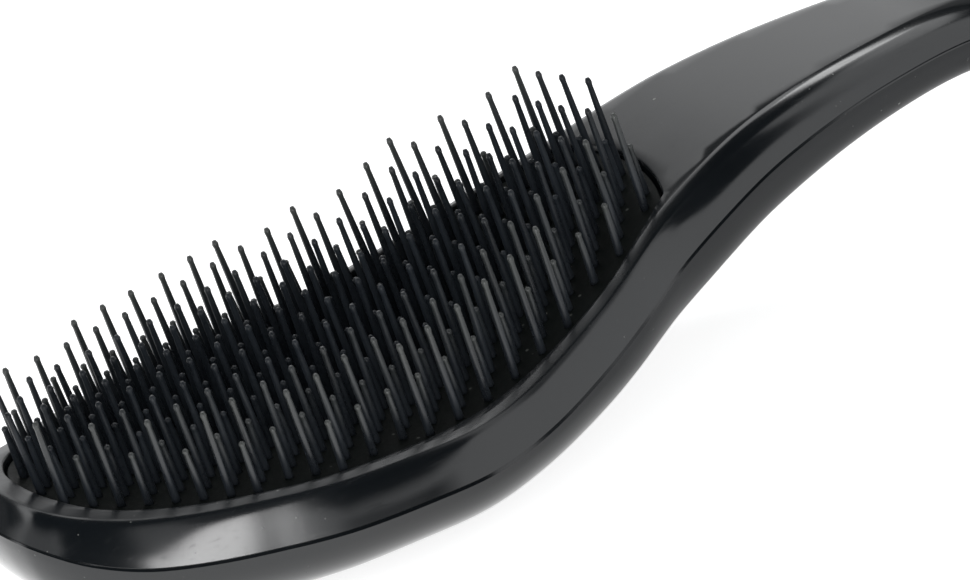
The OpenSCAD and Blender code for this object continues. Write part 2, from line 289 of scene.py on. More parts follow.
class Shape:
    """The body's and the pad's shape, from the sizes in the scene."""

    def __init__(self, scene):
        self.b, self.p = scene.brush_body, scene.brush_pad
        b, p = self.b, self.p
        self.pad_w = b.head_w - 2 * p.rim_w
        x = b.body_len * (1 - np.cos(np.pi * np.arange(b.outline_n + 1) / b.outline_n)) / 2
        w = self.half_width(x)
        w[0] = w[-1] = 0
        self.half = np.stack([x, w], axis=1)
        self.low = 0
        s = np.arange(0, SEARCH_END, SEARCH_STEP) * b.body_len
        self.low = b.rest_flat + (self.face(s) - self.depth(s)).min()
        s = 1 - np.cos(np.pi / 2 * np.arange(p.pad_n + 1) / p.pad_n)
        w = self.pad_half(p.pad_start + s * p.pad_len)
        w[0] = 0
        q = 1 - np.arange(1, p.bulge_n + 1) / p.bulge_n
        end = np.stack([p.pad_start + p.pad_len + p.pad_bulge * (1 - q * q), w[-1] * q], axis=1)
        self.pad = np.vstack([np.stack([p.pad_start + s * p.pad_len, w], axis=1), end])

    def half_width(self, x):
        return self.b.head_w / 2 * np.sqrt(np.maximum(curve(squares(WIDTH), x / self.b.body_len), 0))

    def spread(self, x):
        return self.b.head_w / 2 * curve(SPREAD, x / self.b.body_len)

    def depth(self, x):
        return self.b.body_d * curve(DEPTH, x / self.b.body_len)

    def face(self, x):
        return self.b.rise_h * curve(FACE, x / self.b.body_len) - self.low

    def slope(self, x):
        d = SLOPE_STEP * self.b.body_len
        return np.arctan2(self.face(x + d) - self.face(x - d), 2 * d)

    def pad_half(self, x):
        s = (x - self.p.pad_start) / self.p.pad_len
        half = self.pad_w / 2 * np.sqrt(np.maximum(curve(squares(PAD), s), 0))
        return np.minimum(half, self.half_width(x) - self.p.rim_least)

    def closed(self, half, z):
        """A closed ring: the near side from the tip on, then the far side back."""
        near = np.stack([half[:, 0] - self.b.body_len / 2, -half[:, 1], z], axis=1)
        far = near[-2:0:-1] * (1, -1, 1)
        return np.vstack([near, far])

    def face_ring(self, d, drop):
        q = inset(self.half, d)
        return self.closed(q, self.face(q[:, 0]) - drop)

    def seam_ring(self, d, part, lift=0.0):
        q = inset(self.half, d)
        return self.closed(q, self.face(q[:, 0]) - part * self.b.seam_share * self.depth(q[:, 0]) + lift)

    def shoulder_ring(self, across, handle, head):
        wide = self.b.shoulder_w * curve(ROUND, self.half[:, 0] / self.b.body_len)
        q = inset(self.half, across * wide)
        part = handle + (head - handle) * curve(LIP, q[:, 0] / self.b.body_len)
        return self.closed(q, self.face(q[:, 0]) - part * self.b.seam_share * self.depth(q[:, 0]))

    def back_ring(self, across, down, d=0.0, lift=0.0):
        q = inset(self.half, d + across * self.spread(self.half[:, 0]))
        part = self.b.seam_share + down * (1 - self.b.seam_share)
        return self.closed(q, lift + np.maximum(self.face(q[:, 0]) - self.depth(q[:, 0]) * part, 0))

    def pad_ring(self, d, drop):
        q = inset(self.pad, d)
        return self.closed(q, self.face(q[:, 0]) - drop)

    def mark_lip(self, mesh):
        """Marks the lip beside the pad, which is less polished, as an attribute."""
        places = np.zeros(len(mesh.vertices) * 3)
        mesh.vertices.foreach_get("co", places)
        x, z = places[0::3] + self.b.body_len / 2, places[2::3]
        fades, gone = LIP_FADE
        near = np.clip((gone - (self.face(x) - z)) / (gone - fades), 0, 1)
        lip = mesh.attributes.new("lip", "FLOAT", "POINT")
        lip.data.foreach_set("value", near * curve(LIP, x / self.b.body_len))


# --- mesh --------------------------------------------------------------------------------

class Moulding:
    """Collects rings, sides and caps, and turns them into one closed piece."""

    def __init__(self, shape):
        self.shape = shape
        self.verts = []
        self.faces = []

    def ring(self, points):
        start = len(self.verts)
        self.verts.extend(map(tuple, points))
        return list(range(start, len(self.verts)))

    def side(self, upper, lower):
        n = len(upper)
        for i in range(n):
            j = (i + 1) % n
            self.faces.append((upper[i], lower[i], lower[j], upper[j]))

    def skin(self, rings):
        ids = [self.ring(r) for r in rings]
        for a, b in zip(ids[:-1], ids[1:]):
            self.side(a, b)
        return ids

    def strips(self, ring, up=True):
        """Closes a ring straight across the brush."""
        n = len(ring) // 2
        for i in range(n):
            a, b = ring[i], ring[i + 1]
            d, c = ring[(2 * n - i) % (2 * n)], ring[2 * n - i - 1]
            face = [a, b, c, d]
            face = [v for k, v in enumerate(face) if v not in face[:k]]
            self.faces.append(tuple(face if up else face[::-1]))

    def cap(self, outer, hole, height, up=True):
        """Fills between an outer ring and a hole, or a whole ring, at the height that x gives."""
        known = outer + hole
        flat = np.array([self.verts[i][:2] for i in known])
        rings = [list(range(len(outer)))]
        if hole:
            rings.append(list(range(len(outer), len(known))))
        low, high = flat.min(axis=0), flat.max(axis=0)
        first = -math.floor(high[1] / CAP_STEP) * CAP_STEP
        grid = np.array([(x, y) for x in np.arange(low[0] + CAP_STEP / 2, high[0], CAP_STEP)
                         for y in np.arange(first, high[1], CAP_STEP)])
        keep = inside(grid, flat[rings[0]]) & (nearest(grid, flat) > CAP_CLEAR * CAP_STEP)
        if hole:
            keep &= ~inside(grid, flat[rings[1]])
        grid = grid[keep]
        points = np.vstack([flat, grid]) / MM
        border = [(a, b) for r in rings for a, b in zip(r, r[1:] + r[:1])]
        out = delaunay_2d_cdt([Vector(p) for p in points], border, [], 0, CAP_TOUCH)
        ids = []
        for place, origin in zip(out[0], out[3]):
            old = [o for o in origin if o < len(known)]
            if old:
                ids.append(known[old[0]])
            else:
                ids.append(len(self.verts))
                x = place[0] * MM + self.shape.b.body_len / 2
                self.verts.append((place[0] * MM, place[1] * MM, float(height(np.array([x]))[0])))
        middles = np.array([np.mean([out[0][k][:] for k in face], axis=0) for face in out[2]]) * MM
        wanted = inside(middles, flat[rings[0]])
        if hole:
            wanted &= ~inside(middles, flat[rings[1]])
        for face, use in zip(out[2], wanted):
            if not use:
                continue
            face = [ids[k] for k in face]
            self.faces.append(tuple(face if up else face[::-1]))

    def piece(self, name, materials):
        mesh = bpy.data.meshes.new(name)
        mesh.from_pydata(self.verts, [], self.faces)
        for m in materials:
            mesh.materials.append(m)
        work = bmesh.new()
        work.from_mesh(mesh)
        bmesh.ops.remove_doubles(work, verts=work.verts, dist=MESH_TOUCH)
        bmesh.ops.dissolve_degenerate(work, edges=work.edges, dist=MESH_TOUCH)
        bmesh.ops.recalc_face_normals(work, faces=work.faces)
        if work.calc_volume(signed=True) < 0:
            bmesh.ops.reverse_faces(work, faces=work.faces)
        open_edges = sum(1 for e in work.edges if len(e.link_faces) != 2)
        work.to_mesh(mesh)
        work.free()
        if open_edges:
            raise RuntimeError(f"{name} has {open_edges} open edges")
        mesh.shade_smooth()
        mesh.set_sharp_from_angle(angle=SHARP_ANGLE)
        obj = bpy.data.objects.new(name, mesh)
        bpy.context.scene.collection.objects.link(obj)
        return obj


def inside(points, ring):
    """Which points lie inside a closed ring."""
    x, y = points[:, 0], points[:, 1]
    result = np.zeros(len(points), bool)
    for a, b in zip(ring, np.roll(ring, -1, axis=0)):
        crosses = (a[1] > y) != (b[1] > y)
        with np.errstate(divide="ignore", invalid="ignore"):
            at = (b[0] - a[0]) * (y - a[1]) / (b[1] - a[1]) + a[0]
        result ^= crosses & (x < at)
    return result


def nearest(points, others):
    """Distance of each point from the nearest of the others."""
    return np.array([np.sqrt(((others - p) ** 2).sum(axis=1)).min() for p in points])


# --- materials ---------------------------------------------------------------------------

class Nodes:
    """Adds nodes to a tree, which it empties first."""

    def __init__(self, tree):
        self.tree = tree
        self.tree.nodes.clear()

    def node(self, kind, **settings):
        made = self.tree.nodes.new(kind)
        for key, value in settings.items():
            setattr(made, key, value)
        return made

    def link(self, a, b):
        self.tree.links.new(a, b)

    def span(self, value, low, high, to_low=0.0, to_high=1.0):
        made = self.node("ShaderNodeMapRange")
        made.clamp = True
        for key, number in zip(("From Min", "From Max", "To Min", "To Max"), (low, high, to_low, to_high)):
            made.inputs[key].default_value = number
        self.link(value, made.inputs["Value"])
        return made.outputs["Result"]

    def math(self, how, a, b):
        made = self.node("ShaderNodeMath", operation=how)
        for socket, value in zip(made.inputs, (a, b)):
            if isinstance(value, (int, float)):
                socket.default_value = value
            else:
                self.link(value, socket)
        return made.outputs[0]


def shader_tree(owner):
    owner.use_nodes = True
    return owner.node_tree


class Finish(Nodes):
    """A node-based finish, built step by step."""

    def __init__(self, name, base, roughness):
        self.material = bpy.data.materials.new(name)
        super().__init__(shader_tree(self.material))
        out = self.node("ShaderNodeOutputMaterial")
        self.shader = self.node("ShaderNodeBsdfPrincipled")
        self.link(self.shader.outputs[0], out.inputs[0])
        self.shader.inputs["Base Color"].default_value = (*base, 1)
        self.shader.inputs["Roughness"].default_value = roughness
        self.place = self.node("ShaderNodeTexCoord").outputs["Object"]

    def noise(self, scale, detail=2.0, rough=0.5, stretch=None, warp=0.0):
        made = self.node("ShaderNodeTexNoise")
        made.inputs["Scale"].default_value = scale
        made.inputs["Detail"].default_value = detail
        made.inputs["Roughness"].default_value = rough
        made.inputs["Distortion"].default_value = warp
        if stretch:
            mapping = self.node("ShaderNodeMapping")
            mapping.inputs["Scale"].default_value = stretch
            self.link(self.place, mapping.inputs["Vector"])
            self.link(mapping.outputs[0], made.inputs["Vector"])
        else:
            self.link(self.place, made.inputs["Vector"])
        return made.outputs["Fac"]

    def specks(self, scale, size, amount):
        """A mask of small round specks, in only some of the cells."""
        cells = self.node("ShaderNodeTexVoronoi", feature="F1")
        cells.inputs["Scale"].default_value = scale
        self.link(self.place, cells.inputs["Vector"])
        dot = self.span(cells.outputs["Distance"], size, size * 0.5)
        pick = self.node("ShaderNodeSeparateColor")
        self.link(cells.outputs["Color"], pick.inputs[0])
        some = self.math("LESS_THAN", pick.outputs[0], amount)
        return self.math("MULTIPLY", dot, some)

    def blend(self, mask, low, high):
        """A colour between two, by a mask. Each end is a colour or a socket."""
        made = self.node("ShaderNodeMix", data_type="RGBA")
        self.link(mask, made.inputs["Factor"])
        for index, value in zip(MIX_COLOURS, (low, high)):
            if isinstance(value, tuple):
                made.inputs[index].default_value = (*value, 1)
            else:
                self.link(value, made.inputs[index])
        return made.outputs[2]

    def bump(self, height, strength, depth):
        made = self.node("ShaderNodeBump")
        made.inputs["Strength"].default_value = strength
        made.inputs["Distance"].default_value = depth
        self.link(height, made.inputs["Height"])
        self.link(made.outputs[0], self.shader.inputs["Normal"])

    def mark(self, name):
        """A number that the mesh carries."""
        return self.node("ShaderNodeAttribute", attribute_name=name).outputs["Fac"]

    def base(self, value):
        self.link(value, self.shader.inputs["Base Color"])

    def rough(self, value):
        self.link(value, self.shader.inputs["Roughness"])


def tint(value, factor):
    return tuple(min(1.0, v * factor) for v in value)


def polished_black(name, look):
    """Polished black moulding: faint waviness, fine rub marks, haze and dust."""
    f = Finish(name, look.shell, look.shell_rough)
    haze = f.noise(26, detail=4, rough=0.55, warp=0.4)
    grain = f.noise(2400, detail=3, rough=0.6)
    rubs = f.span(f.noise(60, detail=5, rough=0.62, stretch=(3, 34, 34)), 0.56, 0.72)
    dust = f.specks(260, size=0.07, amount=0.07)
    fine = f.specks(900, size=0.13, amount=0.16)
    specks = f.math("MAXIMUM", dust, f.math("MULTIPLY", fine, f.span(haze, 0.48, 0.62, 0, 0.5)))
    shade = f.blend(f.span(haze, 0.3, 0.7), tint(look.shell, 0.8), tint(look.shell, 1.25))
    f.base(f.blend(specks, shade, tuple(look.dust)))
    level = f.math("ADD", f.span(haze, 0.3, 0.7, look.shell_rough * 0.75, look.shell_rough * 1.3),
                   f.math("MULTIPLY", rubs, 0.07))
    level = f.math("ADD", level, f.math("MULTIPLY", f.mark("lip"), look.lip_rough))
    f.rough(f.math("ADD", level, f.math("MULTIPLY", specks, 0.5)))
    fine_relief = f.math("ADD", f.math("MULTIPLY", grain, 0.012), f.math("MULTIPLY", specks, 0.2))
    f.bump(f.math("ADD", f.noise(70, detail=1, rough=0.4), fine_relief), strength=0.12, depth=0.3 * MM)
    return f.material


def flexible_pad(name, look):
    """Flexible dark moulding: soft sheen, fine pores, flecks and lint."""
    f = Finish(name, look.pad, look.pad_rough)
    f.shader.inputs["Specular IOR Level"].default_value = 0.1
    cloud = f.noise(60, detail=4, rough=0.6)
    pores = f.noise(1800, detail=3, rough=0.65)
    flecks = f.specks(650, size=0.2, amount=0.14)
    lint = f.specks(240, size=0.12, amount=0.1)
    marks = f.math("MAXIMUM", f.math("MULTIPLY", flecks, 0.35), lint)
    shade = f.blend(f.span(cloud, 0.3, 0.7), tint(look.pad, 0.6), tint(look.pad, 1.5))
    f.base(f.blend(marks, shade, tint(look.dust, 0.8)))
    f.rough(f.span(f.math("ADD", cloud, f.math("MULTIPLY", pores, 0.5)), 0.5, 1.0,
                   look.pad_rough * 0.75, look.pad_rough * 1.25))
    f.bump(f.math("ADD", pores, f.math("MULTIPLY", marks, 1.5)), strength=0.35, depth=0.08 * MM)
    return f.material


def tooth_plastic(name, look):
    """Semi-gloss teeth: slight streaks along them and uneven gloss, with painted light: upper parts near
    the rim paler as a painted backlight glow, and less shine in the middle of the pad as painted shade.
    """
    f = Finish(name, look.teeth, look.teeth_rough)
    streak = f.noise(420, detail=3, rough=0.6, stretch=(1, 1, 0.12))
    spots = f.noise(1300, detail=2, rough=0.5)
    shade = f.blend(f.span(streak, 0.32, 0.68), tint(look.teeth, 0.65), tint(look.teeth, 1.45))
    outer = f.mark("outer")
    # Painted backlight glow: upper parts of the teeth near the rim are made paler
    painted_glow = f.math("MULTIPLY", f.span(f.mark("along"), 0.3, 0.7), f.span(outer, 0.45, 0.85))
    f.base(f.blend(painted_glow, shade, tuple(look.painted_tip_glow)))
    # Painted shade: teeth in the middle of the pad get a lower specular level, standing in for the shade
    # that falls among them
    f.link(f.span(outer, 0.3, 0.8, 0.2, 0.5), f.shader.inputs["Specular IOR Level"])
    f.rough(f.span(f.math("ADD", streak, f.math("MULTIPLY", spots, 0.5)), 0.5, 1.0,
                   look.teeth_rough * 0.75, look.teeth_rough * 1.3))
    f.bump(f.math("ADD", streak, f.math("MULTIPLY", spots, 0.3)), strength=0.2, depth=0.06 * MM)
    return f.material


def inner_moulding(name, look):
    """Unpolished inner moulding: matt, with tool marks and fine grain."""
    f = Finish(name, look.carrier, 0.6)
    grain = f.noise(1500, detail=4, rough=0.7)
    marks = f.noise(300, detail=2, rough=0.5, stretch=(0.3, 3, 1))
    f.base(f.blend(f.span(marks, 0.3, 0.7), tint(look.carrier, 0.75), tint(look.carrier, 1.3)))
    f.rough(f.span(grain, 0.3, 0.7, 0.5, 0.72))
    f.bump(f.math("ADD", grain, f.math("MULTIPLY", marks, 0.4)), strength=0.3, depth=0.1 * MM)
    return f.material


# --- teeth -------------------------------------------------------------------------------

def tooth_rows(scene, shift):
    """Places, leans and length shares of one set of teeth, and how far out each one stands."""
    shape, t, p = Shape(scene), scene.brush_teeth, scene.brush_pad
    reach = math.ceil(p.pad_len / t.pitch)
    steps = np.arange(-reach, reach + 1)
    i, j = [a.ravel() for a in np.meshgrid(steps, steps, indexing="ij")]
    u = (i + shift + t.row_shift) * t.pitch
    v = (j + shift) * t.pitch
    c, s = math.cos(t.row_turn), math.sin(t.row_turn)
    x = p.pad_start + p.pad_len / 2 + u * c - v * s
    y = u * s + v * c
    end = p.pad_start + p.pad_len
    bulge = p.pad_bulge * (1 - (y / shape.pad_half(end)) ** 2)
    ends = np.minimum(x - p.pad_start, end + bulge - x)
    keep = (ends > t.border) & (np.abs(y) < shape.pad_half(x) - t.border)
    x, y = x[keep], y[keep]
    lean = -t.lean - t.follow * shape.slope(x)
    splay = -t.splay * y / (shape.pad_w / 2)
    places = np.stack([x - scene.brush_body.body_len / 2, y, shape.face(x) - p.pad_recess], axis=1)
    turns = np.stack([splay, lean, np.zeros_like(lean)], axis=1)
    outer = np.abs(y) / shape.pad_half(x)
    return places, turns, curve(TOOTH, (x - p.pad_start) / p.pad_len), outer


def tooth_tree(material):
    """Geometry nodes: a turned tooth with a rounded tip on each point."""
    tree = bpy.data.node_groups.new("Teeth", "GeometryNodeTree")
    face = tree.interface
    face.new_socket("Geometry", in_out="OUTPUT", socket_type="NodeSocketGeometry")
    face.new_socket("Geometry", in_out="INPUT", socket_type="NodeSocketGeometry")
    for name, kind in (("Length", "Float"), ("Root width", "Float"), ("Tip width", "Float"),
                       ("Wander", "Float"), ("Sides", "Int"), ("Seed", "Int")):
        face.new_socket(name, in_out="INPUT", socket_type="NodeSocket" + kind)

    n = Nodes(tree)
    node, link, calc = n.node, n.link, n.math
    given, result = node("NodeGroupInput"), node("NodeGroupOutput")
    rings = len(TOOTH_HEIGHTS) - 1
    rod = node("GeometryNodeMeshCylinder")
    rod.inputs["Side Segments"].default_value = rings
    rod.inputs["Radius"].default_value = 0.5
    rod.inputs["Depth"].default_value = 1.0
    link(given.outputs["Sides"], rod.inputs["Vertices"])
    parts = node("ShaderNodeSeparateXYZ")
    link(node("GeometryNodeInputPosition").outputs[0], parts.inputs[0])
    part = calc("ADD", parts.outputs[2], 0.5)

    def profile(values):
        made = node("ShaderNodeFloatCurve")
        line = made.mapping.curves[0]
        made.mapping.use_clip = False
        while len(line.points) < len(values):
            line.points.new(0.5, 0.5)
        for k, value in enumerate(values):
            line.points[k].location = (k / rings, value)
            line.points[k].handle_type = "VECTOR"
        made.mapping.update()
        link(part, made.inputs["Value"])
        return made.outputs[0]

    wide = calc("ADD", calc("MULTIPLY", profile(TOOTH_STEMS), given.outputs["Root width"]),
                calc("MULTIPLY", profile(TOOTH_TIPS), given.outputs["Tip width"]))
    spot = node("ShaderNodeCombineXYZ")
    link(calc("MULTIPLY", parts.outputs[0], wide), spot.inputs[0])
    link(calc("MULTIPLY", parts.outputs[1], wide), spot.inputs[1])
    link(profile(TOOTH_HEIGHTS), spot.inputs[2])
    turned = node("GeometryNodeSetPosition")
    along = node("GeometryNodeStoreNamedAttribute", data_type="FLOAT", domain="POINT")
    along.inputs["Name"].default_value = "along"
    link(rod.outputs["Mesh"], along.inputs["Geometry"])
    link(part, along.inputs["Value"])
    link(along.outputs[0], turned.inputs["Geometry"])
    link(spot.outputs[0], turned.inputs["Position"])
    smooth = node("GeometryNodeSetShadeSmooth")
    link(turned.outputs[0], smooth.inputs[0])

    lean = node("GeometryNodeInputNamedAttribute", data_type="FLOAT_VECTOR")
    lean.inputs["Name"].default_value = "lean"
    part_of = node("GeometryNodeInputNamedAttribute", data_type="FLOAT")
    part_of.inputs["Name"].default_value = "length_share"
    uneven = node("FunctionNodeRandomValue", data_type="FLOAT_VECTOR")
    uneven.inputs[0].default_value = (-1, -1, -1)
    uneven.inputs[1].default_value = (1, 1, 1)
    link(given.outputs["Seed"], uneven.inputs["Seed"])
    sway = node("ShaderNodeVectorMath", operation="SCALE")
    link(uneven.outputs[0], sway.inputs[0])
    link(given.outputs["Wander"], sway.inputs["Scale"])
    total = node("ShaderNodeVectorMath", operation="ADD")
    link(lean.outputs[0], total.inputs[0])
    link(sway.outputs[0], total.inputs[1])
    size = node("ShaderNodeCombineXYZ")
    size.inputs[0].default_value = 1
    size.inputs[1].default_value = 1
    link(calc("MULTIPLY", part_of.outputs[0], given.outputs["Length"]), size.inputs[2])
    spread = node("GeometryNodeInstanceOnPoints")
    link(given.outputs["Geometry"], spread.inputs["Points"])
    link(smooth.outputs[0], spread.inputs["Instance"])
    link(total.outputs[0], spread.inputs["Rotation"])
    link(size.outputs[0], spread.inputs["Scale"])
    real = node("GeometryNodeRealizeInstances")
    link(spread.outputs[0], real.inputs[0])
    finish = node("GeometryNodeSetMaterial")
    finish.inputs["Material"].default_value = material
    link(real.outputs[0], finish.inputs["Geometry"])
    link(finish.outputs[0], result.inputs[0])
    return tree


def grow_teeth(scene, tree, shift, tooth_len, shares):
    """Runs the tree on one set of points and returns a plain mesh."""
    places, lean, part, outer = tooth_rows(scene, shift)
    mesh = bpy.data.meshes.new("tooth_points")
    mesh.from_pydata([tuple(p) for p in places], [], [])
    turns = mesh.attributes.new("lean", "FLOAT_VECTOR", "POINT")
    turns.data.foreach_set("vector", lean.ravel())
    sizes = mesh.attributes.new("length_share", "FLOAT", "POINT")
    sizes.data.foreach_set("value", part if shares else np.ones(len(part)))
    mesh.attributes.new("outer", "FLOAT", "POINT").data.foreach_set("value", outer)
    points = bpy.data.objects.new("tooth_points", mesh)
    scene.collection.objects.link(points)
    made = points.modifiers.new("Teeth", "NODES")
    made.node_group = tree
    t = scene.brush_teeth
    inputs = {"Length": tooth_len, "Root width": t.root_w, "Tip width": t.tip_w,
              "Wander": t.wander, "Sides": t.sides, "Seed": t.seed}
    for item in tree.interface.items_tree:
        if item.in_out == "INPUT" and item.name in inputs:
            made[item.identifier] = inputs[item.name]
    bpy.context.view_layer.update()
    ready = points.evaluated_get(bpy.context.evaluated_depsgraph_get())
    result = bpy.data.meshes.new_from_object(ready)
    bpy.data.objects.remove(points)
    return result


# --- operators ---------------------------------------------------------------------------

class BRUSH_OT_back_shell(bpy.types.Operator):
    """Builds the rear half of the body, a smooth bowl with a tongue along its rim"""
    bl_idname = "brush.back_shell"
    bl_label = "Back shell"

    def execute(self, context):
        scene = context.scene
        shape, b = Shape(scene), scene.brush_body
        tongue = b.wall / 2
        shell = Moulding(shape)
        outer = [shape.back_ring(a, d) for a, d in section(BACK, 3)]
        inner_to_outer = [
            shape.back_ring(BACK[-1][0], BACK[-1][1], b.wall, b.wall),
            shape.back_ring(BACK[3][0], BACK[3][1], BEND_SHARE * b.wall, BEND_SHARE * b.wall),
            shape.back_ring(BACK[1][0], BACK[1][1], b.wall),
            shape.seam_ring(b.wall, 1, b.tongue_h),
            shape.seam_ring(b.wall - tongue, 1, b.tongue_h),
            shape.seam_ring(b.wall - tongue, 1),
            shape.seam_ring(b.seam_v, 1)]
        ids = shell.skin(inner_to_outer + outer)
        shell.strips(ids[0], up=True)
        shell.strips(ids[-1], up=False)
        piece = shell.piece("back_half", [polished_black("Polished back", scene.brush_finish)])
        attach(piece, "root")
        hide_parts("back_shell")
        return {"FINISHED"}


class BRUSH_OT_front_frame(bpy.types.Operator):
    """Builds the front half of the body: face, rounded shoulder and the rim round the pad"""
    bl_idname = "brush.front_frame"
    bl_label = "Front frame"

    def execute(self, context):
        scene = context.scene
        shape, b = Shape(scene), scene.brush_body
        tongue = b.wall / 2
        front = Moulding(shape)
        outer = [shape.shoulder_ring(*row) for row in section(SHOULDER, 4)]
        inner = [
            shape.seam_ring(b.seam_v, 1),
            shape.seam_ring(b.wall - tongue - b.tongue_gap, 1),
            shape.seam_ring(b.wall - tongue - b.tongue_gap, 1, b.tongue_h + b.tongue_gap),
            shape.seam_ring(b.wall, 1, b.tongue_h + b.tongue_gap),
            shape.seam_ring(b.wall, 0.5),
            shape.face_ring(b.rim_share * b.shoulder_w, b.face_t)]
        ids = front.skin(outer + inner)
        rim = [shape.pad_ring(-across, down) for across, down in quarter_round(b.rim_round)]
        rim.append(shape.pad_ring(0, b.face_t))
        holes = [front.ring(points) for points in rim]
        for a, c in zip(holes[:-1], holes[1:]):
            front.side(c, a)
        front.cap(ids[0], holes[0], shape.face)
        front.cap(ids[-1], holes[-1], lambda x: shape.face(x) - b.face_t, up=False)
        piece = front.piece("front_half", [polished_black("Polished front", scene.brush_finish)])
        shape.mark_lip(piece.data)
        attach(piece, "root")
        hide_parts("front_frame")
        return {"FINISHED"}


class BRUSH_OT_tooth_pad(bpy.types.Operator):
    """Builds the flexible pad with its long and short teeth"""
    bl_idname = "brush.tooth_pad"
    bl_label = "Tooth pad and teeth"

    def execute(self, context):
        scene = context.scene
        shape, b, p, t = Shape(scene), scene.brush_body, scene.brush_pad, scene.brush_teeth
        soft = flexible_pad("Flexible pad", scene.brush_finish)
        plastic = tooth_plastic("Tooth plastic", scene.brush_finish)
        slab = Moulding(shape)
        edge = [shape.pad_ring(p.pad_gap + across, p.pad_recess + down)
                for across, down in quarter_round(p.pad_round)]
        ids = slab.skin(edge + [shape.pad_ring(p.pad_gap, b.face_t)])
        slab.cap(ids[0], [], lambda x: shape.face(x) - p.pad_recess)
        slab.strips(ids[-1], up=False)
        piece = slab.piece("pad_and_teeth", [soft, plastic])
        tree = tooth_tree(plastic)
        meshes = [grow_teeth(scene, tree, 0, t.long_len, True),
                  grow_teeth(scene, tree, 0.5, t.short_len, False)]
        for name in ("along", "outer"):
            piece.data.attributes.new(name, "FLOAT", "POINT")
        work = bmesh.new()
        work.from_mesh(piece.data)
        for mesh in meshes:
            before = len(work.faces)
            work.from_mesh(mesh)
            work.faces.ensure_lookup_table()
            for f in work.faces[before:]:
                f.material_index = 1
                f.smooth = True
            bpy.data.meshes.remove(mesh)
        work.to_mesh(piece.data)
        work.free()
        bpy.data.node_groups.remove(tree)
        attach(piece, "root")
        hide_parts("tooth_pad")
        return {"FINISHED"}


class BRUSH_OT_carrier(bpy.types.Operator):
    """Gives the carrier under the pad its unpolished finish"""
    bl_idname = "brush.carrier"
    bl_label = "Pad carrier"

    def execute(self, context):
        finish = inner_moulding("Inner moulding", context.scene.brush_finish)
        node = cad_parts["pad_carrier"]
        for slot in node.material_slots:
            slot.material = finish
        if not node.material_slots:
            raise RuntimeError("the carrier has no material slot")
        return {"FINISHED"}


